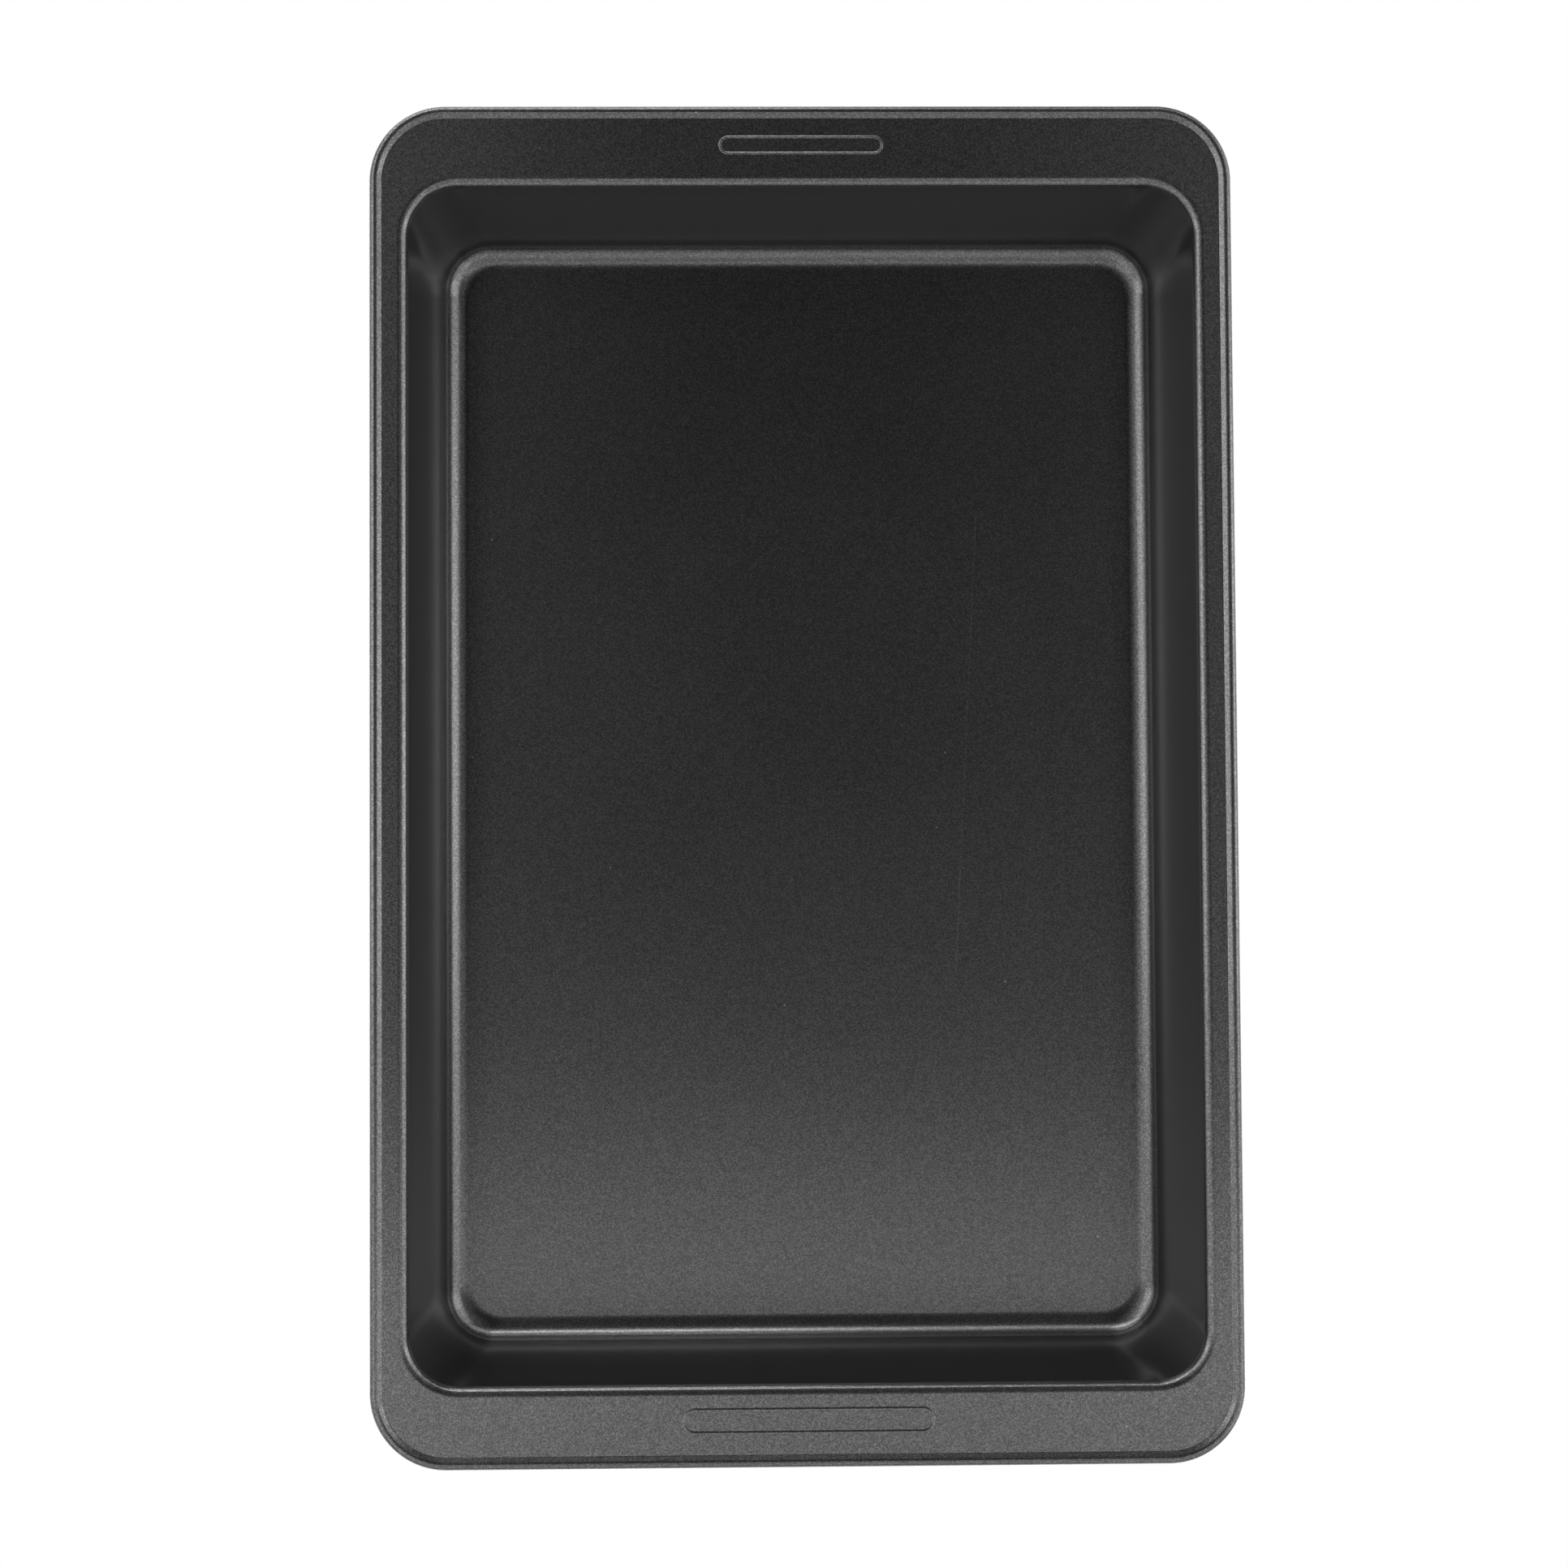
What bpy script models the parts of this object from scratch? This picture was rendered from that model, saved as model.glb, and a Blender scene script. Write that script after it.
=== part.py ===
# Deep baking tray: one drawn steel sheet whose edge is rolled over a steel wire.
# Metres, +Z up. The tray rests on z = 0, its length runs along Y and its width along X.

import math

import bmesh
import bpy
from mathutils import Vector

MM = 0.001

# Opening, measured between opposite walls just under the top bend
OPENING_LENGTH = 381.2 * MM
OPENING_WIDTH = 251.8 * MM
OPENING_CORNER = 15.8 * MM

# Pan
SHEET_THICKNESS = 0.6 * MM
PAN_DEPTH = 58.3 * MM
WALL_DRAFT = math.radians(8.1)
TOP_BEND_RADIUS = 3.5 * MM
FLOOR_BEND_RADIUS = 8.8 * MM
FLOOR_CORNER = 11.5 * MM

# The floor bend tightens once it has turned up this far towards the wall
WALL_FOOT_RADIUS = 5.5 * MM
WALL_FOOT_START = math.radians(50.0)

# Flat land between the top bend and the foot of the bead: wide at the ends, where the hands grip
END_LAND = 18.7 * MM
SIDE_LAND = 4.9 * MM

# Wired edge: the sheet kicks up from the land, goes over the wire and curls back under it
RIM_CORNER = 24.2 * MM
WIRE_DIAMETER = 1.7 * MM
WIRE_CLEARANCE = 0.3 * MM
WIRE_BUTT_GAP = 1.0 * MM
BEAD_DROP = 0.65 * MM
BEAD_KICK = math.radians(33.0)
CURL_MOUTH = 0.7 * MM

# Facets
CORNER_STEPS = 9
BEND_STEPS = 5
FLOOR_BEND_STEPS = 3
WALL_FOOT_STEPS = 2
CURL_STEPS = 19
WIRE_BEVEL_RESOLUTION = 2
SHARP_ANGLE = math.radians(28.0)

# Heights of the pan's upper face
FLOOR_TOP = SHEET_THICKNESS
LAND_TOP = FLOOR_TOP + PAN_DEPTH

# The bead's arc, outside the sheet, and what it takes up in plan
CURL_RADIUS = WIRE_DIAMETER / 2 + WIRE_CLEARANCE + SHEET_THICKNESS
CURL_CENTRE_HEIGHT = LAND_TOP - BEAD_DROP
KICK_RISE = CURL_RADIUS * math.cos(BEAD_KICK) - BEAD_DROP
KICK_RUN = KICK_RISE / math.tan(BEAD_KICK)
BEAD_WIDTH = CURL_RADIUS * (1 + math.sin(BEAD_KICK)) + KICK_RUN

# The curl stops short of the sheet above it, whose underside touches the curl's inner circle
CURL_SWEEP = 2 * math.pi - math.acos((CURL_RADIUS - SHEET_THICKNESS - CURL_MOUTH) / CURL_RADIUS)

# Half sizes of the outer edge in plan
TOP_BEND_RUN = TOP_BEND_RADIUS * math.cos(WALL_DRAFT)
OUTER_HALF_LENGTH = OPENING_LENGTH / 2 + TOP_BEND_RUN + END_LAND + BEAD_WIDTH
OUTER_HALF_WIDTH = OPENING_WIDTH / 2 + TOP_BEND_RUN + SIDE_LAND + BEAD_WIDTH


def rounded_rectangle(half_length, half_width, corner, height):
    """Points of a rounded rectangle at one height, counter-clockwise from above."""
    points = []
    for quarter in range(4):
        side_x = 1 if quarter in (0, 3) else -1
        side_y = 1 if quarter in (0, 1) else -1
        centre_x = side_x * (half_width - corner)
        centre_y = side_y * (half_length - corner)
        for step in range(CORNER_STEPS + 1):
            angle = math.pi / 2 * (quarter + step / CORNER_STEPS)
            points.append(Vector((centre_x + corner * math.cos(angle),
                                  centre_y + corner * math.sin(angle), height)))
    return points


def rim_section(inset, height):
    """Section of the bead, set in from the outer edge."""
    return rounded_rectangle(OUTER_HALF_LENGTH - inset, OUTER_HALF_WIDTH - inset,
                             RIM_CORNER - inset, height)


def pan_section(spread, corner, height):
    """Section of the pan, spread outwards from the opening (inwards where negative)."""
    return rounded_rectangle(OPENING_LENGTH / 2 + spread, OPENING_WIDTH / 2 + spread, corner, height)


def bead_sections():
    """Curl from its hidden end, round the outside and over the crown, then the kick down to the land."""
    sections = []
    kick_angle = math.pi / 2 + BEAD_KICK
    for step in range(CURL_STEPS + 1):
        angle = kick_angle - CURL_SWEEP * (1 - step / CURL_STEPS)
        inset = CURL_RADIUS * (1 - math.cos(angle))
        sections.append(rim_section(inset, CURL_CENTRE_HEIGHT + CURL_RADIUS * math.sin(angle)))
    sections.append(rim_section(BEAD_WIDTH, LAND_TOP))
    return sections


def top_bend_sections():
    """Bend from the flat land down into the wall, whose plan corners stay concentric."""
    sections = []
    for step in range(BEND_STEPS + 1):
        turn = (math.pi / 2 - WALL_DRAFT) * step / BEND_STEPS
        spread = TOP_BEND_RUN - TOP_BEND_RADIUS * math.sin(turn)
        height = LAND_TOP - TOP_BEND_RADIUS * (1 - math.cos(turn))
        sections.append(pan_section(spread, OPENING_CORNER + spread, height))
    return sections


def floor_bend_profile(turn):
    """Reach and rise from the edge of the flat floor to where the bend has turned up by an angle."""
    if turn <= WALL_FOOT_START:
        return FLOOR_BEND_RADIUS * math.sin(turn), FLOOR_BEND_RADIUS * (1 - math.cos(turn))
    tightening = FLOOR_BEND_RADIUS - WALL_FOOT_RADIUS
    reach = tightening * math.sin(WALL_FOOT_START) + WALL_FOOT_RADIUS * math.sin(turn)
    fall = tightening * math.cos(WALL_FOOT_START) + WALL_FOOT_RADIUS * math.cos(turn)
    return reach, FLOOR_BEND_RADIUS - fall


def floor_bend_sections():
    """Bend from the foot of the wall into the floor, whose plan corners stay concentric too."""
    full_turn = math.pi / 2 - WALL_DRAFT
    full_reach, full_rise = floor_bend_profile(full_turn)
    wall_head = LAND_TOP - TOP_BEND_RADIUS * (1 - math.sin(WALL_DRAFT))
    floor_edge = -(wall_head - FLOOR_TOP - full_rise) * math.tan(WALL_DRAFT) - full_reach
    turns = []
    for step in range(WALL_FOOT_STEPS):
        turns.append(full_turn - (full_turn - WALL_FOOT_START) * step / WALL_FOOT_STEPS)
    for step in range(FLOOR_BEND_STEPS + 1):
        turns.append(WALL_FOOT_START * (1 - step / FLOOR_BEND_STEPS))
    sections = []
    for turn in turns:
        reach, rise = floor_bend_profile(turn)
        sections.append(pan_section(floor_edge + reach, FLOOR_CORNER + reach, FLOOR_TOP + rise))
    return sections


def loft(name, sections):
    """Open surface through sections of equally many points, closed by a flat face on the last one."""
    bm = bmesh.new()
    loops = [[bm.verts.new(point) for point in section] for section in sections]
    for outer, inner in zip(loops, loops[1:]):
        count = len(outer)
        for index in range(count):
            following = (index + 1) % count
            bm.faces.new((outer[index], outer[following], inner[following], inner[index]))
    bm.faces.new(loops[-1])
    mesh = bpy.data.meshes.new(name)
    bm.to_mesh(mesh)
    bm.free()
    return mesh


def metal(name, colour, roughness, metallic):
    """Principled material of one finish."""
    material = bpy.data.materials.new(name)
    material.use_nodes = True
    shader = material.node_tree.nodes["Principled BSDF"]
    shader.inputs["Base Color"].default_value = (*colour, 1.0)
    shader.inputs["Roughness"].default_value = roughness
    shader.inputs["Metallic"].default_value = metallic
    return material


def make_tray_pan(collection):
    """Upper face of the pressing, thickened downwards and to the inside of the curl."""
    mesh = loft("tray_pan", bead_sections() + top_bend_sections() + floor_bend_sections())
    mesh.materials.append(metal("charcoal_nonstick", (0.045, 0.045, 0.047), 0.36, 0.25))
    mesh.shade_smooth()
    mesh.set_sharp_from_angle(angle=SHARP_ANGLE)
    pan = bpy.data.objects.new("tray_pan", mesh)
    collection.objects.link(pan)
    wall = pan.modifiers.new("sheet", "SOLIDIFY")
    wall.thickness = SHEET_THICKNESS
    wall.offset = -1.0
    wall.use_even_offset = True
    return pan


def make_rim_wire(collection):
    """Wire laid in the curl, cut to one length and butted in the middle of one long side."""
    loop = rim_section(CURL_RADIUS, CURL_CENTRE_HEIGHT)
    side_middle = (loop[-1] + loop[0]) / 2
    half_gap = Vector((0.0, WIRE_BUTT_GAP / 2, 0.0))
    route = [side_middle + half_gap] + loop + [side_middle - half_gap]

    curve = bpy.data.curves.new("rim_wire", "CURVE")
    curve.dimensions = "3D"
    curve.bevel_depth = WIRE_DIAMETER / 2
    curve.bevel_resolution = WIRE_BEVEL_RESOLUTION
    curve.use_fill_caps = True
    spline = curve.splines.new("POLY")
    spline.points.add(len(route) - 1)
    for point, place in zip(spline.points, route):
        point.co = (*place, 1.0)
    curve.materials.append(metal("galvanised_wire", (0.52, 0.53, 0.54), 0.42, 1.0))
    wire = bpy.data.objects.new("rim_wire", curve)
    collection.objects.link(wire)
    return wire


def clear_scene():
    """Start from an empty scene."""
    for item in list(bpy.data.objects):
        bpy.data.objects.remove(item, do_unlink=True)


def main():
    clear_scene()
    collection = bpy.data.collections.new("deep_baking_tray")
    bpy.context.scene.collection.children.link(collection)
    make_tray_pan(collection)
    make_rim_wire(collection)


main()
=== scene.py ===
# Deep baking tray on a white table, seen from above.
# The coated sheet and the wire in its edge are grids worked out with numpy: a section in which every
# point is a rounded rectangle in plan. Sizes are in millimetres until a grid becomes a mesh. The tray
# rests on z = 0, its length along Y, with +Y the far end in the picture.
import math

import bpy
import numpy as np
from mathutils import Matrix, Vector


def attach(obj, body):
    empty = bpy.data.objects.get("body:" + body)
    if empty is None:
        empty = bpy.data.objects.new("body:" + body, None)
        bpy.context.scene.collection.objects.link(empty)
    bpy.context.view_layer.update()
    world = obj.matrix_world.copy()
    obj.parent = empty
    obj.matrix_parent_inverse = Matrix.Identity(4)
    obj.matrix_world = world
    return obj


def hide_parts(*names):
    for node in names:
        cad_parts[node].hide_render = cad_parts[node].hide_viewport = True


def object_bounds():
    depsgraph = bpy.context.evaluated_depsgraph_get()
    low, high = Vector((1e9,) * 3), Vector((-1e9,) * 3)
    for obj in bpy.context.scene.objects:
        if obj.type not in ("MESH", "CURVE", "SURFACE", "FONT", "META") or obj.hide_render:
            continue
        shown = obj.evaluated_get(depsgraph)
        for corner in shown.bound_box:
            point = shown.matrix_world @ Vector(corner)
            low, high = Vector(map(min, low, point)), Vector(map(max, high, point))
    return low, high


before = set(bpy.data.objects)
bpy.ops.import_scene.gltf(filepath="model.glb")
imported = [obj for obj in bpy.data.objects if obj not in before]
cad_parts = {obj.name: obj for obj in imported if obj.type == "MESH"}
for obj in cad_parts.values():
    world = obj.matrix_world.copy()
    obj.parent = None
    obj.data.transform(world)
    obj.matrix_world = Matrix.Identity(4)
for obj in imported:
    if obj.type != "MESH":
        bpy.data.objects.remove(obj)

mm = 0.001
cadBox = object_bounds()
outerHalfWidth, outerHalfLength, rimTop = (side / mm for side in cadBox[1])

# The rolled edge, which the sheet and its wire share
rolledEdge = {
    "corner": 24.2,          # plan radius of the outer edge
    "curl": 1.75,            # outside radius of the sheet rolled over the wire
    "land": 58.9,            # height of the land's upper face
    "drop": 0.65,            # from the land down to the wire's centre
}


# Columns once round a plan, counter-clockwise from +X. Each is an angle within a quarter turn, then
# a share of the straight side that follows that corner, with the signs of the corner's centre and
# the direction of the side.
def columnsRound(cornerSteps, sideShares):
    parts = []
    for quarter, side in enumerate(sideShares):
        turn = np.linspace(0.0, math.pi / 2, cornerSteps + 1)
        angle = quarter * math.pi / 2 + np.concatenate([turn, np.full(len(side), math.pi / 2)])
        share = np.concatenate([np.zeros(len(turn)), side])
        signs = ((1, 1, -1, 0), (-1, 1, 0, -1), (-1, -1, 1, 0), (1, -1, 0, 1))[quarter]
        parts.append(np.stack([angle, share, *(np.full(len(angle), sign) for sign in signs)]))
    return np.concatenate(parts, axis=1)[:, None, :]


# Points of rounded rectangles: the corner's centre plus its radius times (cos, sin) of the angle,
# moved along the straight side by its share of that side's length.
def planGrid(rings, columns):
    halfLength, halfWidth, corner, height = (values[:, None] for values in rings)
    angle, share, signX, signY, alongX, alongY = columns
    centreX = halfWidth - corner
    centreY = halfLength - corner
    x = signX * centreX + corner * np.cos(angle) + share * alongX * 2 * centreX
    y = signY * centreY + corner * np.sin(angle) + share * alongY * 2 * centreY
    z = np.broadcast_to(height, x.shape)
    return np.stack([x, y, z], axis=-1)


# Quads between neighbouring rows of a grid whose columns close round.
def gridQuads(rows, columns, first):
    row = np.arange(rows - 1)[:, None] * columns
    column = np.arange(columns)[None, :]
    following = (column + 1) % columns
    corners = (row + column, row + following, row + columns + following, row + columns + column)
    return np.stack(corners, -1).reshape(-1, 4) + first


# Mesh object from whole arrays of points, quads and triangles, shaded smooth.
def makeObject(name, points, quads, triangles, material):
    mesh = bpy.data.meshes.new(name)
    corners = np.concatenate([quads.ravel(), triangles.ravel()]).astype(np.int32)
    quadStarts = np.arange(len(quads)) * 4
    triangleStarts = len(quads) * 4 + np.arange(len(triangles)) * 3
    starts = np.concatenate([quadStarts, triangleStarts]).astype(np.int32)
    mesh.vertices.add(len(points))
    mesh.vertices.foreach_set("co", (points * mm).astype(np.float32).ravel())
    mesh.loops.add(len(corners))
    mesh.loops.foreach_set("vertex_index", corners)
    mesh.polygons.add(len(starts))
    mesh.polygons.foreach_set("loop_start", starts)
    mesh.update(calc_edges=True)
    mesh.validate()
    mesh.shade_smooth()
    mesh.materials.append(material)
    piece = bpy.data.objects.new(name, mesh)
    bpy.context.scene.collection.objects.link(piece)
    return piece


# The coated sheet

coatedSheet = {
    "thickness": 0.6,
    "openingLength": 381.2,      # between the walls at the top bend's foot
    "openingWidth": 251.8,
    "openingCorner": 15.8,
    "topBend": 3.5,
    "floorBend": 8.8,
    "wallFootBend": 5.5,         # the floor bend's own radius next to the wall
    "wallFootStart": math.radians(50.0),
    "floorCorner": 11.5,         # plan radius where the floor bend leaves the base
    "footCorner": 16.5,          # and where it meets the wall
    "draft": math.radians(8.1),  # of the walls, from upright
    "kick": math.radians(33.0),  # of the bead where it springs from the land
    "footBend": 0.45,            # between land and bead
    "footRows": 5,
    "curlMouth": 0.7,            # left between the curl's end and the sheet above it
    "crown": 0.45,               # the base is drawn up this much in its middle
    "wave": 0.05,                # unevenness that drawing leaves in the base
    "waveShares": (1.0, 0.6, 0.5),
    "waveLengths": (31.0, 43.0, 26.0, 57.0),  # to a radian: across, along and on two slants
    "waveShift": 1.3,
    "slant": 1.7,                # of the last wave
    "baseBelow": 0.9,            # height under which both skins are base
    "flatMargin": 16.0,          # of the base, inside the opening, that stays down
    "farFrame": {"halfLength": 26.0, "radius": 2.6, "fromEdge": 12.6},
    "nearFrame": {"halfLength": 39.5, "radius": 3.6, "fromEdge": 14.6},
    "frameHeight": 0.2,          # of the pressed line of both blank frames
    "frameWidth": 0.5,           # from its middle to its foot
    "fineStep": 0.2,             # grid spacing where the frames are
    "cornerSteps": 26,           # columns round each corner
    "sideColumns": 24,           # along each long side
    "endColumns": 6,             # in each coarse stretch of an end
}

# Rows of each stretch of the two skins
upperRows = {"curl": 27, "land": 9, "topBend": 12, "wall": 8, "floorBend": 18, "base": 16}
underRows = {"curl": 18, "land": 3, "topBend": 8, "wall": 4, "floorBend": 10, "base": 8}


# Shares of an end's straight side: fine across both round ends of its frame, coarse elsewhere.
def endShares(frameSize):
    sheet = coatedSheet
    side = sheet["openingWidth"] - 2 * sheet["openingCorner"]
    outside = frameSize["halfLength"] + 2 * sheet["frameWidth"]
    inside = frameSize["halfLength"] - frameSize["radius"] - sheet["frameWidth"]
    fine = np.arange(inside, outside, sheet["fineStep"])
    middle = np.linspace(-inside, inside, sheet["endColumns"] + 2)[1:-1]
    left = np.linspace(-side / 2, -outside, sheet["endColumns"] + 1)[1:]
    places = np.concatenate([left, -fine[::-1], middle, fine, -left[::-1]])
    return places / side + 0.5


# Insets from the outer edge at which the land has a row: fine where either frame crosses it.
def landInsets(start, end, count):
    sheet = coatedSheet
    frames = (sheet["farFrame"], sheet["nearFrame"])
    margin = 2 * sheet["frameWidth"]
    fineStart = min(each["fromEdge"] - each["radius"] for each in frames) - margin
    fineEnd = max(each["fromEdge"] + each["radius"] for each in frames) + margin
    before = np.linspace(start, fineStart, count + 1)[1:-1]
    after = np.linspace(fineEnd, end, count + 1)[1:-1]
    return np.concatenate([before, np.arange(fineStart, fineEnd, sheet["fineStep"]), after])


# Section of one skin of the sheet, from the curl's end to the middle of the base, as four arrays:
# half length, half width, plan corner and height of each row. offset is the distance of the skin
# below the upper one, square to it, so it shrinks the curl and the top bend and widens the two hollow
# bends. All bends are arcs: centre plus radius times (sin, cos) of the turn.
def sheetSection(offset, rows):
    sheet = coatedSheet
    edge = rolledEdge
    curl = edge["curl"]
    wireHeight = edge["land"] - edge["drop"]

    # curl, from its hidden end over the crown to the kick
    kickTurn = math.pi / 2 + sheet["kick"]
    sweep = 2 * math.pi - math.acos((curl - sheet["thickness"] - sheet["curlMouth"]) / curl)
    turn = kickTurn - sweep * (1 - np.linspace(0.0, 1.0, rows["curl"] + 1))
    curlInset = curl - (curl - offset) * np.cos(turn)
    curlHeight = wireHeight + (curl - offset) * np.sin(turn)

    # foot of the kick, rounded into the land
    kickRise = curl * math.cos(sheet["kick"]) - edge["drop"]
    kickRun = kickRise / math.tan(sheet["kick"])
    footRun = sheet["footBend"] * math.tan(sheet["kick"] / 2)
    footEnd = curl * (1 + math.sin(sheet["kick"])) + kickRun + footRun
    footTurn = np.linspace(sheet["kick"], 0.0, sheet["footRows"])
    footInset = footEnd - (sheet["footBend"] + offset) * np.sin(footTurn)
    footHeight = edge["land"] + sheet["footBend"] - (sheet["footBend"] + offset) * np.cos(footTurn)

    # top bend, as spread outwards from the opening
    bendTurn = np.linspace(0.0, math.pi / 2 - sheet["draft"], rows["topBend"] + 1)
    topRadius = sheet["topBend"] - offset
    bendSpread = sheet["topBend"] * math.cos(sheet["draft"]) - topRadius * np.sin(bendTurn)
    bendHeight = edge["land"] - sheet["topBend"] + topRadius * np.cos(bendTurn)

    # floor bend: its arc tightens about a second centre where it nears the wall, and its plan corner
    # grows evenly with its reach, from the base's to the wall's
    tightening = sheet["floorBend"] - sheet["wallFootBend"]
    tightReach = tightening * math.sin(sheet["wallFootStart"])
    bendCentre = sheet["thickness"] + sheet["floorBend"]
    tightCentre = bendCentre - tightening * math.cos(sheet["wallFootStart"])
    wallHead = edge["land"] - sheet["topBend"] * (1 - math.sin(sheet["draft"]))
    wallFoot = tightCentre - sheet["wallFootBend"] * math.sin(sheet["draft"])
    wallRun = (wallHead - wallFoot) * math.tan(sheet["draft"])
    bendRun = tightReach + sheet["wallFootBend"] * math.cos(sheet["draft"])
    floorTurn = np.linspace(math.pi / 2 - sheet["draft"], 0.0, rows["floorBend"] + 1)
    isTight = floorTurn > sheet["wallFootStart"]
    radius = np.where(isTight, sheet["wallFootBend"], sheet["floorBend"]) + offset
    centre = np.where(isTight, tightCentre, bendCentre)
    reach = radius * np.sin(floorTurn) + np.where(isTight, tightReach, 0.0)
    floorSpread = reach - wallRun - bendRun
    floorHeight = centre - radius * np.cos(floorTurn)
    offsetReach = offset * np.sin(floorTurn)
    upBend = (reach - offsetReach) / bendRun
    cornerGrowth = (sheet["footCorner"] - sheet["floorCorner"]) * upBend
    lowCorner = sheet["floorCorner"] + cornerGrowth + offsetReach

    # wall, straight in section, its plan corner running from one bend's to the other's
    down = np.linspace(0.0, 1.0, rows["wall"] + 1)[1:-1]
    topCorner = sheet["openingCorner"] + bendSpread
    wallSpread = bendSpread[-1] + (floorSpread[0] - bendSpread[-1]) * down
    wallHeight = bendHeight[-1] + (floorHeight[0] - bendHeight[-1]) * down
    wallCorner = topCorner[-1] + (lowCorner[0] - topCorner[-1]) * down

    # land, between the foot and the top bend
    edgeInset = np.concatenate([curlInset, footInset])
    openHalfLength = sheet["openingLength"] / 2
    openHalfWidth = sheet["openingWidth"] / 2
    innerInset = outerHalfLength - openHalfLength - bendSpread[0]
    insets = landInsets(footInset[-1], innerInset, rows["land"])
    across = (insets - footInset[-1]) / (innerInset - footInset[-1])
    sideStart = outerHalfWidth - footInset[-1]
    cornerStart = edge["corner"] - footInset[-1]
    landHalfWidth = sideStart + (openHalfWidth + bendSpread[0] - sideStart) * across
    landCorner = cornerStart + (topCorner[0] - cornerStart) * across

    spread = np.concatenate([bendSpread, wallSpread, floorSpread])
    halfLength = np.concatenate([outerHalfLength - edgeInset, outerHalfLength - insets,
                                 openHalfLength + spread])
    halfWidth = np.concatenate([outerHalfWidth - edgeInset, landHalfWidth, openHalfWidth + spread])
    corner = np.concatenate([edge["corner"] - edgeInset, landCorner, topCorner, wallCorner, lowCorner])
    landHeight = np.full(len(insets), footHeight[-1])
    height = np.concatenate([curlHeight, footHeight, landHeight, bendHeight, wallHeight, floorHeight])

    # the base: its edge shrunk towards the middle in equal steps
    shrink = np.linspace(1.0, 0.0, rows["base"] + 1)[1:-1]
    base = (halfLength[-1] * shrink, halfWidth[-1] * shrink, corner[-1] * shrink,
            np.full(len(shrink), height[-1]))
    rings = (halfLength, halfWidth, corner, height)
    return [np.concatenate([ring, inner]) for ring, inner in zip(rings, base)]


# Ridge along a stadium's outline: a squared cosine of the distance from that line.
def stadiumRidge(x, y, frameSize):
    sheet = coatedSheet
    pastStraight = np.maximum(np.abs(x) - (frameSize["halfLength"] - frameSize["radius"]), 0.0)
    distance = np.abs(np.hypot(pastStraight, y) - frameSize["radius"])
    share = np.clip(distance / sheet["frameWidth"], 0.0, 1.0)
    return sheet["frameHeight"] * np.cos(share * math.pi / 2) ** 2


# Raises the two blank frames on the lands of the ends.
def pressFrames(points):
    sheet = coatedSheet
    x, y, z = (points[..., axis] for axis in range(3))
    far = stadiumRidge(x, y - (outerHalfLength - sheet["farFrame"]["fromEdge"]), sheet["farFrame"])
    near = stadiumRidge(x, y + (outerHalfLength - sheet["nearFrame"]["fromEdge"]), sheet["nearFrame"])
    onLand = z > rolledEdge["land"] - sheet["thickness"] / 2
    points[..., 2] += np.where(onLand, far + near, 0.0)


# What drawing leaves in the base, alike in both skins: a crown, the product of one cosine bow along
# and one across, and a sum of three long waves, raised until it is nowhere below nought and faded out
# by the same product.
def bowBase(points):
    sheet = coatedSheet
    x, y = points[..., 0], points[..., 1]
    bowX = np.cos(np.clip(x / (sheet["openingWidth"] / 2 - sheet["flatMargin"]), -1, 1) * math.pi / 2)
    bowY = np.cos(np.clip(y / (sheet["openingLength"] / 2 - sheet["flatMargin"]), -1, 1) * math.pi / 2)
    crossing, slanting, leaning = sheet["waveShares"]
    across, along, slant, lean = sheet["waveLengths"]
    waves = (crossing * np.sin(x / across + sheet["waveShift"]) * np.cos(y / along)
             + slanting * np.sin((x + y) / slant) + leaning * np.cos((x - sheet["slant"] * y) / lean))
    lift = bowX * bowY * (sheet["crown"] + sheet["wave"] * (waves + sum(sheet["waveShares"])))
    points[..., 2] += np.where(points[..., 2] < sheet["baseBelow"], lift, 0.0)


# The pressing as one closed skin: upper rows in to the middle of the base, under rows back out, a
# fan at each middle and one ring of quads across the sheet's cut edge in the curl.
def makeSheet(material):
    sheet = coatedSheet
    longSide = np.linspace(0.0, 1.0, sheet["sideColumns"] + 2)[1:-1]
    columns = columnsRound(sheet["cornerSteps"], (endShares(sheet["farFrame"]), longSide,
                                                  endShares(sheet["nearFrame"]), longSide))
    upper = planGrid(sheetSection(0.0, upperRows), columns)
    under = planGrid(sheetSection(sheet["thickness"], underRows), columns)
    middles = np.array([[0.0, 0.0, sheet["thickness"]], [0.0, 0.0, 0.0]])
    pressFrames(upper)
    upper[..., 2] = np.minimum(upper[..., 2], rimTop)
    for points in (upper, under, middles):
        bowBase(points)

    upperCount, columnCount = upper.shape[:2]
    underCount = under.shape[0]
    underFirst = upperCount * columnCount
    upperMiddle = underFirst + underCount * columnCount
    points = np.concatenate([upper.reshape(-1, 3), under.reshape(-1, 3), middles])
    column = np.arange(columnCount)
    following = (column + 1) % columnCount
    cutEdge = np.stack([following, column, underFirst + column, underFirst + following], -1)
    quads = np.concatenate([gridQuads(upperCount, columnCount, 0),
                            gridQuads(underCount, columnCount, underFirst)[:, ::-1], cutEdge])
    lastUpper = underFirst - columnCount
    lastUnder = upperMiddle - columnCount
    upperFan = np.stack([lastUpper + column, lastUpper + following,
                         np.full(columnCount, upperMiddle)], -1)
    underFan = np.stack([lastUnder + following, lastUnder + column,
                         np.full(columnCount, upperMiddle + 1)], -1)
    piece = makeObject("coatedSheet", points, quads, np.concatenate([upperFan, underFan]), material)
    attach(piece, "root")
    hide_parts("tray_pan")
    print("coated sheet:", 2 * (len(quads) + columnCount), "triangles")


# The wire in the edge

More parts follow.
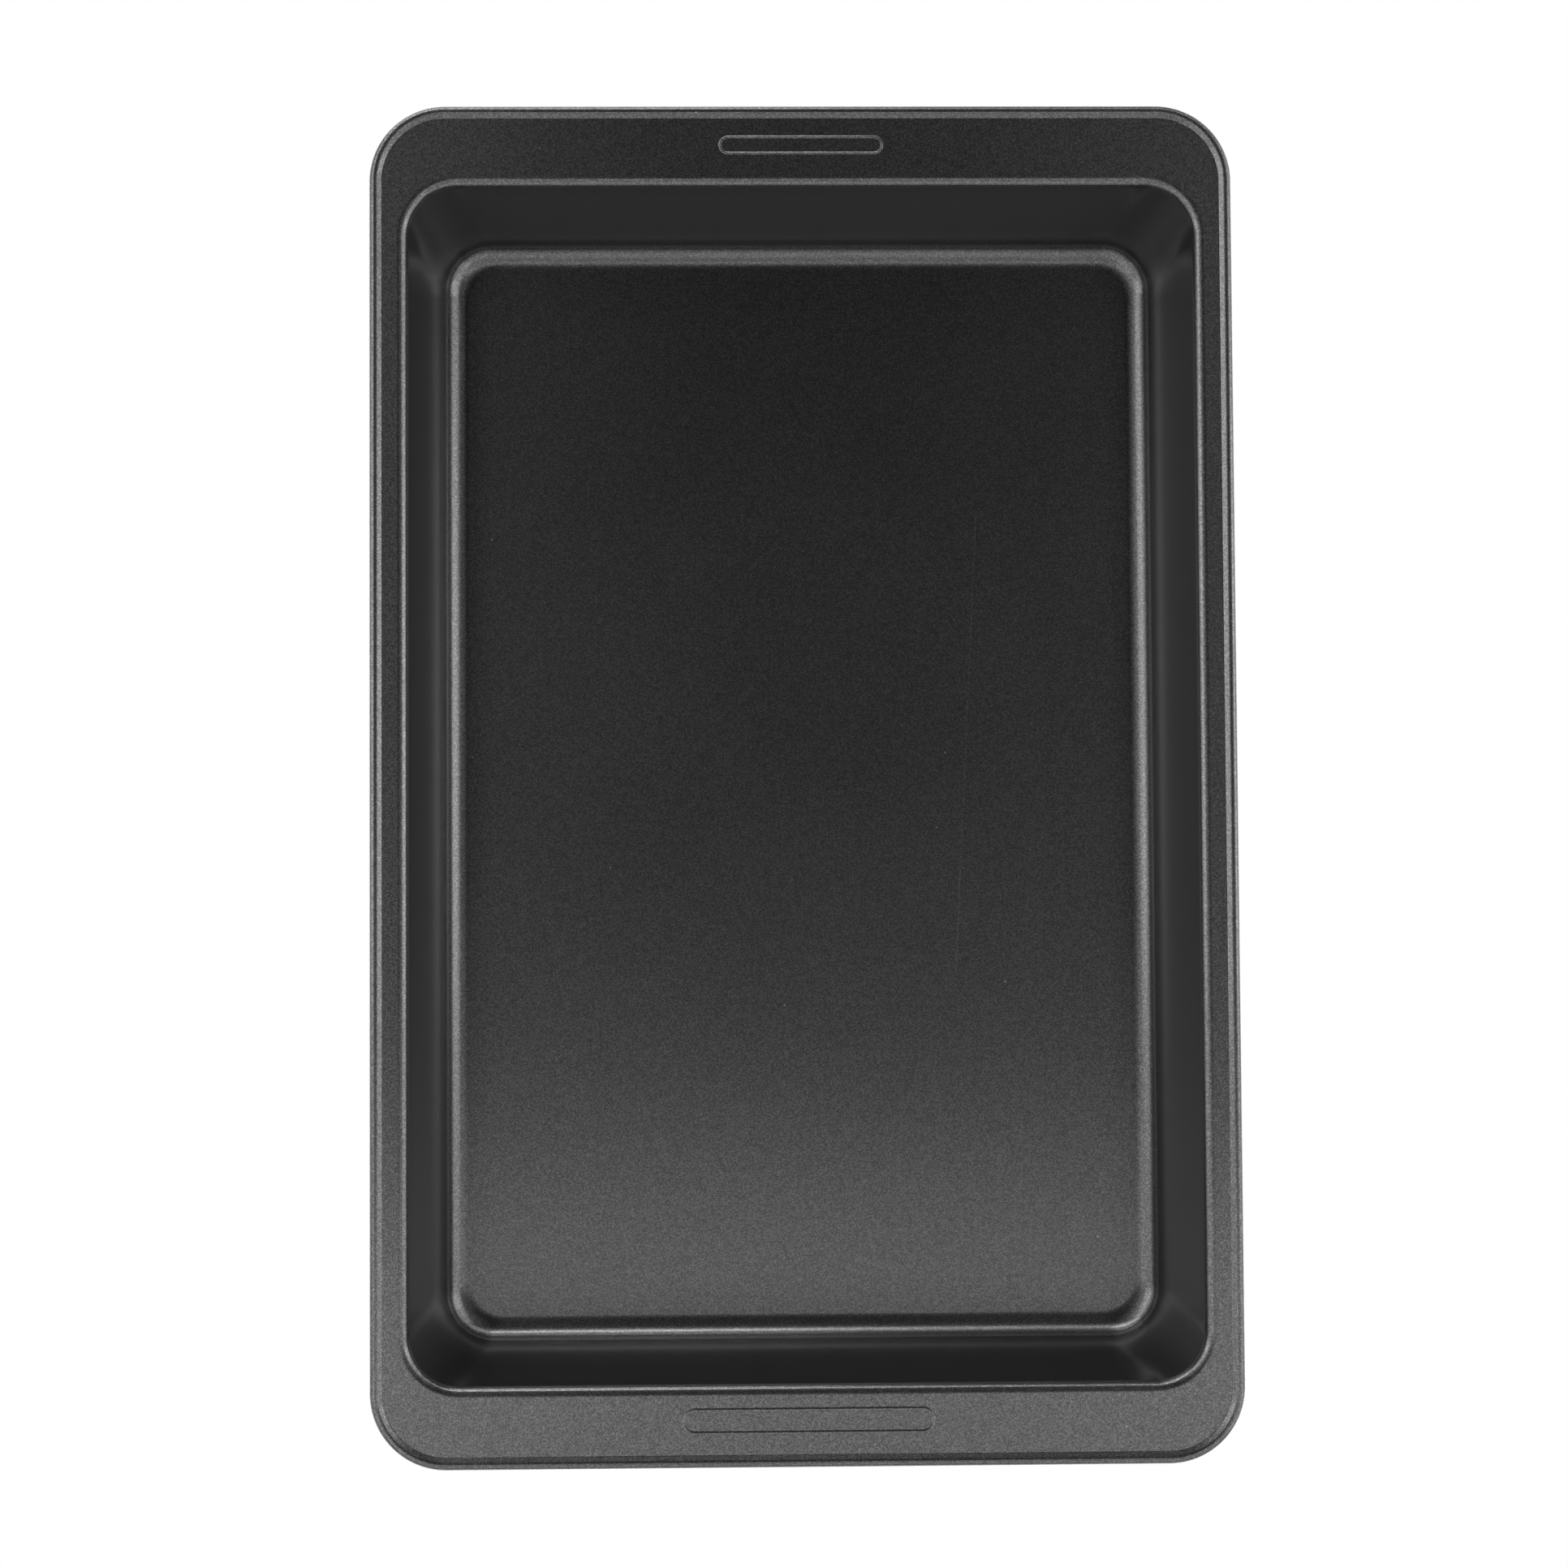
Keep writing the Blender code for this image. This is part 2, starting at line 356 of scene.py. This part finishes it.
edgeWire = {
    "diameter": 1.7,
    "buttGap": 1.0,              # between its two ends, in the middle of the +X side
    "sides": 16,                 # of its round section
    "cornerSteps": 20,
    "sideColumns": 6,
}


# Round wire: a circle's points, each carried once round the plan of the rolled edge from the middle
# of the +X side and back to it, and closed by a fan on each cut end.
def makeWire(material):
    wire = edgeWire
    sides = wire["sides"]
    share = np.linspace(0.0, 1.0, wire["sideColumns"] + 2)[1:-1]
    columns = columnsRound(wire["cornerSteps"], (share, share, share, share[:0]))
    spin = np.linspace(0.0, 2 * math.pi, sides, endpoint=False)
    inset = rolledEdge["curl"] - wire["diameter"] / 2 * np.cos(spin)
    height = rolledEdge["land"] - rolledEdge["drop"] + wire["diameter"] / 2 * np.sin(spin)
    rings = (outerHalfLength - inset, outerHalfWidth - inset, rolledEdge["corner"] - inset, height)
    loop = planGrid(rings, columns)
    start, finish = loop[:, :1].copy(), loop[:, -1:].copy()
    start[..., 1] = wire["buttGap"] / 2
    finish[..., 1] = -wire["buttGap"] / 2
    loop = np.concatenate([start, loop, finish], axis=1)
    stations = loop.shape[1]
    points = np.concatenate([loop.reshape(-1, 3), loop[:, 0].mean(0)[None], loop[:, -1].mean(0)[None]])

    ring = np.arange(sides)
    nextRing = (ring + 1) % sides
    side, nextSide = ring[:, None] * stations, nextRing[:, None] * stations
    station = np.arange(stations - 1)[None, :]
    corners = (side + station, side + station + 1, nextSide + station + 1, nextSide + station)
    quads = np.stack(corners, -1).reshape(-1, 4)
    startMiddle = sides * stations
    last = stations - 1
    startFan = np.stack([ring * stations, nextRing * stations, np.full(sides, startMiddle)], -1)
    finishFan = np.stack([nextRing * stations + last, ring * stations + last,
                          np.full(sides, startMiddle + 1)], -1)
    piece = makeObject("edgeWire", points, quads, np.concatenate([startFan, finishFan]), material)
    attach(piece, "root")
    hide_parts("rim_wire")
    print("edge wire:", 2 * (len(quads) + sides), "triangles")


# Finishes

# Shader node of one kind, with its settings and the values of its unlinked inputs.
def addNode(tree, kind, inputs=None, **settings):
    node = tree.nodes.new(kind)
    for key, value in settings.items():
        setattr(node, key, value)
    for key, value in (inputs or {}).items():
        node.inputs[key].default_value = value
    return node


# Output of a math node on two values, each a socket or a number.
def calculate(tree, operation, first, second=0.0, clamp=False):
    node = addNode(tree, "ShaderNodeMath", operation=operation, use_clamp=clamp)
    for index, value in enumerate((first, second)):
        if isinstance(value, (int, float)):
            node.inputs[index].default_value = value
        else:
            tree.links.new(value, node.inputs[index])
    return node.outputs[0]


# Value carried from one range to another, straight or eased, and held at the ends.
def remap(tree, value, fromMin, fromMax, toMin, toMax, eased=False):
    node = addNode(tree, "ShaderNodeMapRange", {"From Min": fromMin, "From Max": fromMax,
                                                "To Min": toMin, "To Max": toMax})
    if eased:
        node.interpolation_type = "SMOOTHSTEP"
    tree.links.new(value, node.inputs["Value"])
    return node.outputs["Result"]


# Material with its node tree, its shader and the object's own coordinates.
def newMaterial(name):
    material = bpy.data.materials.new(name)
    material.use_nodes = True
    tree = material.node_tree
    place = addNode(tree, "ShaderNodeTexCoord").outputs["Object"]
    return material, tree, tree.nodes["Principled BSDF"], place


grainLook = {
    "detail": 1.6,
    "roughness": 1.0,
    "middleShade": 0.4,
    "flakePower": 2.0,           # of a flake's random value
}


# Group: the fine grain of a finish that is sprayed or dipped. Height is a noise about its middle
# times the depth, for bump. Shade is the middle shade plus, times the depth, the random value of each
# small cell raised to a power, about its mean, so that few flakes are bright and many are dull. The
# mean of a random value between 0 and 1 raised to a power is 1 / (power + 1).
def makeGrainGroup():
    group = bpy.data.node_groups.new("fineGrain", "ShaderNodeTree")
    face = group.interface
    face.new_socket("Vector", in_out="INPUT", socket_type="NodeSocketVector")
    for name in ("Grains per metre", "Flakes per metre", "Depth"):
        face.new_socket(name, in_out="INPUT", socket_type="NodeSocketFloat")
    for name in ("Height", "Shade"):
        face.new_socket(name, in_out="OUTPUT", socket_type="NodeSocketFloat")
    start = group.nodes.new("NodeGroupInput")
    end = group.nodes.new("NodeGroupOutput")
    look = {"Detail": grainLook["detail"], "Roughness": grainLook["roughness"]}
    grain = addNode(group, "ShaderNodeTexNoise", look)
    group.links.new(start.outputs["Vector"], grain.inputs["Vector"])
    group.links.new(start.outputs["Grains per metre"], grain.inputs["Scale"])
    rise = calculate(group, "SUBTRACT", grain.outputs["Fac"], 0.5)
    group.links.new(calculate(group, "MULTIPLY", rise, start.outputs["Depth"]), end.inputs["Height"])

    flakes = addNode(group, "ShaderNodeTexVoronoi")
    group.links.new(start.outputs["Vector"], flakes.inputs["Vector"])
    group.links.new(start.outputs["Flakes per metre"], flakes.inputs["Scale"])
    random = addNode(group, "ShaderNodeSeparateColor")
    group.links.new(flakes.outputs["Color"], random.inputs["Color"])
    raised = calculate(group, "POWER", random.outputs["Red"], grainLook["flakePower"])
    stray = calculate(group, "SUBTRACT", raised, 1 / (grainLook["flakePower"] + 1))
    strayed = calculate(group, "MULTIPLY", stray, start.outputs["Depth"])
    shade = calculate(group, "ADD", strayed, grainLook["middleShade"])
    group.links.new(shade, end.inputs["Shade"])
    return group


# The grain of one finish: its height goes through a bump to the shader's normal, and its shade runs
# from the dark colour at nought to the light one at one. depth is a number or a socket.
def addGrain(tree, shader, group, place, finish, depth):
    values = {"Grains per metre": finish["grains"], "Flakes per metre": finish["flakes"]}
    node = addNode(tree, "ShaderNodeGroup", values, node_tree=group)
    tree.links.new(place, node.inputs["Vector"])
    if isinstance(depth, float):
        node.inputs["Depth"].default_value = depth
    else:
        tree.links.new(depth, node.inputs["Depth"])
    bump = addNode(tree, "ShaderNodeBump", {"Strength": 1.0, "Distance": finish["grainDepth"]})
    tree.links.new(node.outputs["Height"], bump.inputs["Height"])
    tree.links.new(bump.outputs["Normal"], shader.inputs["Normal"])
    # a mix node's colours are its sockets 6 and 7, and its mixed colour is its output 2
    mix = addNode(tree, "ShaderNodeMix", {6: finish["dark"], 7: finish["light"]}, data_type="RGBA")
    tree.links.new(node.outputs["Shade"], mix.inputs[0])
    return mix.outputs[2], node.outputs["Shade"]


charcoalCoat = {
    "dark": (0.018, 0.018, 0.018, 1.0),
    "light": (0.066, 0.066, 0.066, 1.0),
    "metallic": 0.9,
    "roughness": 0.292,
    "cloudiness": 0.012,         # how far the roughness strays from place to place
    "cloudsPerMetre": 16.0,
    "cloudDetail": 3.0,
    "cloudRange": (0.3, 0.7),    # of the noise, taken to the two ends of the roughness
    "wallRoughness": 0.08,       # added to it on the drawn walls
    "roughFrom": 4.0,            # heights between which that is added
    "roughTo": 14.0,
    "glossOnDark": 0.36,         # of the clear top of the coat, over the darkest and lightest flakes
    "glossOnLight": 0.70,
    "glossRoughness": 0.17,
    "paintedShadeInside": 0.88,          # times the colour below the land, as painted shade of the tray's hollow
    "landFrom": 3.0,             # below the land, where the painted shade starts to lift and the land's grain comes in
    "landTo": 0.6,               # where the shade is gone and the grain is whole
    "grains": 1900.0,            # per metre
    "flakes": 3500.0,
    "grainDepth": 0.03 * mm,
    "depthOnBase": 0.95,         # share of the depth there, against the land's
    "depthOnWall": 0.3,
    "wallFrom": 3.0,             # heights between which one gives way to the other
    "wallTo": 8.0,
    "hairlines": [((60.0, 92.0), (52.0, -61.0)), ((17.0, 24.5), (19.5, 12.0))],  # mm, across the base
    "hairlineWidth": 0.35 * mm,  # to each side
    "hairlineTone": 0.45,        # added to the tone along them
    "hairlineLift": 0.7,         # share of the crown that the base has risen by there
    "specks": 70.0,              # per metre, of dust
    "speckSize": 0.4 * mm,
    "speckTone": 4.0,
}


# Mask of a straight line between two points: one on it, falling to nought at its half width. The
# distance is that from the point to its nearest place on the line.
def lineMask(tree, place, start, end, halfWidth):
    start, end = Vector(start), Vector(end)
    run = end - start
    fromStart = addNode(tree, "ShaderNodeVectorMath", {1: start}, operation="SUBTRACT")
    tree.links.new(place, fromStart.inputs[0])
    perLength = run / run.length_squared
    along = addNode(tree, "ShaderNodeVectorMath", {1: perLength}, operation="DOT_PRODUCT")
    tree.links.new(fromStart.outputs["Vector"], along.inputs[0])
    share = calculate(tree, "ADD", along.outputs["Value"], 0.0, clamp=True)
    nearest = addNode(tree, "ShaderNodeVectorMath", {0: run}, operation="SCALE")
    tree.links.new(share, nearest.inputs["Scale"])
    away = addNode(tree, "ShaderNodeVectorMath", operation="DISTANCE")
    tree.links.new(fromStart.outputs["Vector"], away.inputs[0])
    tree.links.new(nearest.outputs["Vector"], away.inputs[1])
    return remap(tree, away.outputs["Value"], 0.0, halfWidth, 1.0, 0.0)


# Charcoal non-stick coat: a fine grain of light and dark flakes, strongest on the land and weakest
# on the drawn walls. Its tone, times the colour, is lower below the land, as painted shade of the tray's
# hollow, and higher along hairline scratches and on specks of dust. Light flakes carry more gloss than dark
# ones.
def makeCoat(grainGroup):
    coat = charcoalCoat
    material, tree, shader, place = newMaterial("charcoalCoat")
    axes = addNode(tree, "ShaderNodeSeparateXYZ")
    tree.links.new(place, axes.inputs[0])
    land = rolledEdge["land"] * mm
    upToWall = remap(tree, axes.outputs["Z"], coat["wallFrom"] * mm, coat["wallTo"] * mm,
                     coat["depthOnBase"], coat["depthOnWall"], eased=True)
    onLand = remap(tree, axes.outputs["Z"], land - coat["landFrom"] * mm, land - coat["landTo"] * mm,
                   0.0, 1.0, eased=True)
    upToLand = calculate(tree, "MULTIPLY", onLand, 1 - coat["depthOnWall"])
    depth = calculate(tree, "ADD", upToWall, upToLand)
    colour, shade = addGrain(tree, shader, grainGroup, place, coat, depth)

    # painted shade of the tray's hollow: the colour below the land is taken down to this share
    tone = remap(tree, onLand, 0.0, 1.0, coat["paintedShadeInside"], 1.0)
    baseHeight = coatedSheet["thickness"] + coat["hairlineLift"] * coatedSheet["crown"]
    for start, end in coat["hairlines"]:
        ends = [(x * mm, y * mm, baseHeight * mm) for x, y in (start, end)]
        line = lineMask(tree, place, *ends, coat["hairlineWidth"])
        tone = calculate(tree, "ADD", tone, calculate(tree, "MULTIPLY", line, coat["hairlineTone"]))
    dust = addNode(tree, "ShaderNodeTexVoronoi", {"Scale": coat["specks"]})
    tree.links.new(place, dust.inputs["Vector"])
    speckReach = coat["speckSize"] * coat["specks"]
    speck = remap(tree, dust.outputs["Distance"], 0.0, speckReach, coat["speckTone"], 0.0)
    toned = addNode(tree, "ShaderNodeVectorMath", operation="SCALE")
    tree.links.new(colour, toned.inputs["Vector"])
    tree.links.new(calculate(tree, "ADD", tone, speck), toned.inputs["Scale"])
    tree.links.new(toned.outputs[0], shader.inputs["Base Color"])
    shader.inputs["Metallic"].default_value = coat["metallic"]

    gloss = remap(tree, shade, 0.0, 1.0, coat["glossOnDark"], coat["glossOnLight"])
    tree.links.new(gloss, shader.inputs["Coat Weight"])
    shader.inputs["Coat Roughness"].default_value = coat["glossRoughness"]
    cloudLook = {"Scale": coat["cloudsPerMetre"], "Detail": coat["cloudDetail"]}
    clouds = addNode(tree, "ShaderNodeTexNoise", cloudLook)
    tree.links.new(place, clouds.inputs["Vector"])
    low, high = coat["roughness"] - coat["cloudiness"], coat["roughness"] + coat["cloudiness"]
    cloudy = remap(tree, clouds.outputs["Fac"], *coat["cloudRange"], low, high)
    addedUpToWall = remap(tree, axes.outputs["Z"], coat["roughFrom"] * mm, coat["roughTo"] * mm,
                          0.0, coat["wallRoughness"], eased=True)
    offLand = calculate(tree, "SUBTRACT", 1.0, onLand)
    added = calculate(tree, "MULTIPLY", addedUpToWall, offLand)
    tree.links.new(calculate(tree, "ADD", cloudy, added), shader.inputs["Roughness"])
    return material


galvanisedSteel = {
    "dark": (0.42, 0.43, 0.44, 1.0),
    "light": (0.6, 0.61, 0.62, 1.0),
    "roughness": 0.42,
    "grains": 900.0,
    "flakes": 1300.0,
    "grainDepth": 0.02 * mm,
    "depth": 1.0,                # share of it, alike all over
}


# Dull zinc on the wire.
def makeWireSteel(grainGroup):
    zinc = galvanisedSteel
    material, tree, shader, place = newMaterial("galvanisedSteel")
    colour = addGrain(tree, shader, grainGroup, place, zinc, zinc["depth"])[0]
    tree.links.new(colour, shader.inputs["Base Color"])
    shader.inputs["Metallic"].default_value = 1.0
    shader.inputs["Roughness"].default_value = zinc["roughness"]
    return material


# Table, light and camera

white = (1.0, 1.0, 1.0, 1.0)
whiteTable = {
    "half": 6000.0,              # of its side
    "height": -0.3,              # a little below the base, which it must not share a plane with
    "colour": (0.8, 0.8, 0.8, 1.0),
    "roughness": 0.9,
    "seenBrightness": 1.0,       # for the camera alone, so that it is as white as a lit backdrop
    "glowHalfWidth": 110.0,      # patch hidden by the tray's base, which lights the underside alone
    "glowHalfLength": 174.0,
    "glowFade": 12.0,            # to each side of its edge
    "glow": 0.6,                 # its strength
}

# Soft boxes: flat panels that face the tray. Each stands on one side, reaches from top to bottom in
# degrees from straight up, as the tray sees it, and along its side from start to end in millimetres,
# counted towards +X or +Y. Where start or end is left out, it reaches that end of its side.
# Brightness is in watts a square metre.
nearSide, farSide, leftSide, rightSide = (0, -1), (0, 1), (-1, 0), (1, 0)
softBoxes = {
    "nearBox": {"side": nearSide, "top": 8, "bottom": 86, "brightness": 4.3},
    "nearHighBox": {"side": nearSide, "top": 12, "bottom": 20, "brightness": 4.5},
    "nearLowBox": {"side": nearSide, "top": 42, "bottom": 70, "brightness": 3.7},
    "leftBox": {"side": leftSide, "top": 40, "bottom": 87, "brightness": 5.3},
    "leftFarBox": {"side": leftSide, "top": 40, "bottom": 66, "start": -100, "brightness": 12.4},
    "leftLowBox": {"side": leftSide, "top": 57, "bottom": 87, "start": -100, "end": 340, "brightness": 6.8},
    "leftNearBox": {"side": leftSide, "top": 40, "bottom": 75, "end": -120, "brightness": 3.2},
    "leftHighBox": {"side": leftSide, "top": 22, "bottom": 40, "brightness": 5.0},
    "leftHighFarBox": {"side": leftSide, "top": 22, "bottom": 40, "start": 200, "brightness": 2.0},
    "leftFill": {"side": leftSide, "top": 8, "bottom": 24, "brightness": 1.4},
    "rightBox": {"side": rightSide, "top": 40, "bottom": 87, "brightness": 11.5},
    "rightLowBox": {"side": rightSide, "top": 48, "bottom": 87, "start": -100, "end": 340, "brightness": 9.6},
    "rightFill": {"side": rightSide, "top": 14, "bottom": 40, "brightness": 1.7},
    "rightHighBox": {"side": rightSide, "top": 8, "bottom": 24, "brightness": 0.4},
    "farBox": {"side": farSide, "top": 56, "bottom": 72, "brightness": 14.5},
    "farBrightBox": {"side": farSide, "top": 61, "bottom": 66, "end": 60, "brightness": 52.0},
    "farLowBox": {"side": farSide, "top": 80, "bottom": 88, "end": 60, "brightness": 31.0},
}
boxReach = 1100.0                # from the middle of a side to either end
boxDistance = 1300.0             # from the middle of the opening

surround = {
    "lit": 0.01,                 # strength for the tray
    "seen": 1.0,                 # and for the camera
}

camera = {
    "x": -27.7,                       # from the middle of the tray
    "y": -44.6,
    "aboveLand": 1000.0,
    "turn": (2.495, -1.191, -0.345),  # degrees
    "focal": 3878.6,                  # in pixels of the photograph
    "photoSide": 1932.0,              # pixels
    "sensor": 36.0,
    "clipStart": 50.0,
}


# Node that goes from one shader to another with a factor.
def mixShaders(tree, factor, first, second):
    mix = addNode(tree, "ShaderNodeMixShader")
    tree.links.new(factor, mix.inputs["Fac"])
    tree.links.new(first.outputs[0], mix.inputs[1])
    tree.links.new(second.outputs[0], mix.inputs[2])
    return mix


# White for the camera from above, lit by the soft boxes for the tray, clear from below. The patch
# glows by the product of one eased step at its edge across and one along.
def makeTable():
    square = np.array([[-1, -1], [1, -1], [1, 1], [-1, 1]]) * whiteTable["half"]
    points = np.concatenate([square, np.full((4, 1), whiteTable["height"])], axis=1)
    material, tree, shader, place = newMaterial("whiteTable")
    shader.inputs["Base Color"].default_value = whiteTable["colour"]
    shader.inputs["Roughness"].default_value = whiteTable["roughness"]
    seen = addNode(tree, "ShaderNodeEmission", {"Strength": whiteTable["seenBrightness"]})
    path = addNode(tree, "ShaderNodeLightPath")
    top = mixShaders(tree, path.outputs["Is Camera Ray"], shader, seen)
    clear = addNode(tree, "ShaderNodeBsdfTransparent")
    facing = addNode(tree, "ShaderNodeNewGeometry")
    sides = mixShaders(tree, facing.outputs["Backfacing"], top, clear)
    tree.links.new(sides.outputs[0], tree.nodes["Material Output"].inputs["Surface"])

    axes = addNode(tree, "ShaderNodeSeparateXYZ")
    tree.links.new(place, axes.inputs[0])
    glow = whiteTable["glow"]
    for axis, half in (("X", whiteTable["glowHalfWidth"]), ("Y", whiteTable["glowHalfLength"])):
        away = calculate(tree, "ABSOLUTE", axes.outputs[axis])
        start, end = (half - whiteTable["glowFade"]) * mm, (half + whiteTable["glowFade"]) * mm
        glow = calculate(tree, "MULTIPLY", remap(tree, away, start, end, 1.0, 0.0, eased=True), glow)
    shader.inputs["Emission Color"].default_value = white
    tree.links.new(glow, shader.inputs["Emission Strength"])
    table = makeObject("whiteTable", points, np.array([[0, 1, 2, 3]]), np.zeros((0, 3), int), material)


# Area light on the plane that touches a sphere round the tray at the box's middle angle. Its height
# is twice the distance times the tangent of half the angle that it spans.
def makeSoftBox(name, box):
    middle = math.radians((box["top"] + box["bottom"]) / 2)
    half = math.radians((box["bottom"] - box["top"]) / 2)
    side = Vector((*box["side"], 0.0))
    outwards = side * math.sin(middle) + Vector((0.0, 0.0, math.cos(middle)))
    start, end = box.get("start", -boxReach), box.get("end", boxReach)
    light = bpy.data.lights.new(name, "AREA")
    light.shape = "RECTANGLE"
    light.size = (end - start) * mm
    light.size_y = 2 * boxDistance * math.tan(half) * mm
    light.energy = box["brightness"] * light.size * light.size_y
    lamp = bpy.data.objects.new(name, light)
    along = Vector((abs(side.y), abs(side.x), 0.0)) * (start + end) / 2
    lamp.location = (outwards * boxDistance + along + Vector((0.0, 0.0, rolledEdge["land"]))) * mm
    lamp.rotation_euler = (-outwards).to_track_quat("-Z", "Y").to_euler()
    lamp.visible_camera = False
    bpy.context.scene.collection.objects.link(lamp)


# Even white surround for the camera, nearly dark for everything else.
def makeWorld():
    world = bpy.data.worlds.new("studio")
    world.use_nodes = True
    tree = world.node_tree
    dim = tree.nodes["Background"]
    dim.inputs["Color"].default_value = white
    dim.inputs["Strength"].default_value = surround["lit"]
    seen = addNode(tree, "ShaderNodeBackground", {"Color": white, "Strength": surround["seen"]})
    path = addNode(tree, "ShaderNodeLightPath")
    mix = mixShaders(tree, path.outputs["Is Camera Ray"], dim, seen)
    tree.links.new(mix.outputs[0], tree.nodes["World Output"].inputs["Surface"])
    bpy.context.scene.world = world


# Camera over the tray: the focal length in sensor units is the one in pixels times sensor over photo.
def makeCamera():
    data = bpy.data.cameras.new("camera")
    data.sensor_width = camera["sensor"]
    data.lens = camera["focal"] / camera["photoSide"] * camera["sensor"]
    data.clip_start = camera["clipStart"] * mm
    viewer = bpy.data.objects.new("camera", data)
    viewer.location = Vector((camera["x"], camera["y"], rolledEdge["land"] + camera["aboveLand"])) * mm
    viewer.rotation_euler = [math.radians(degrees) for degrees in camera["turn"]]
    bpy.context.scene.collection.objects.link(viewer)
    bpy.context.scene.camera = viewer


fineGrain = makeGrainGroup()
coatFinish = makeCoat(fineGrain)
wireFinish = makeWireSteel(fineGrain)
print("finishes:", coatFinish.name, "and", wireFinish.name)
makeSheet(coatFinish)
makeWire(wireFinish)
makeTable()
for boxName, boxValues in softBoxes.items():
    makeSoftBox(boxName, boxValues)
makeWorld()
makeCamera()
bpy.context.scene.view_settings.view_transform = "Standard"
print("table,", len(softBoxes), "soft boxes and camera are in place")
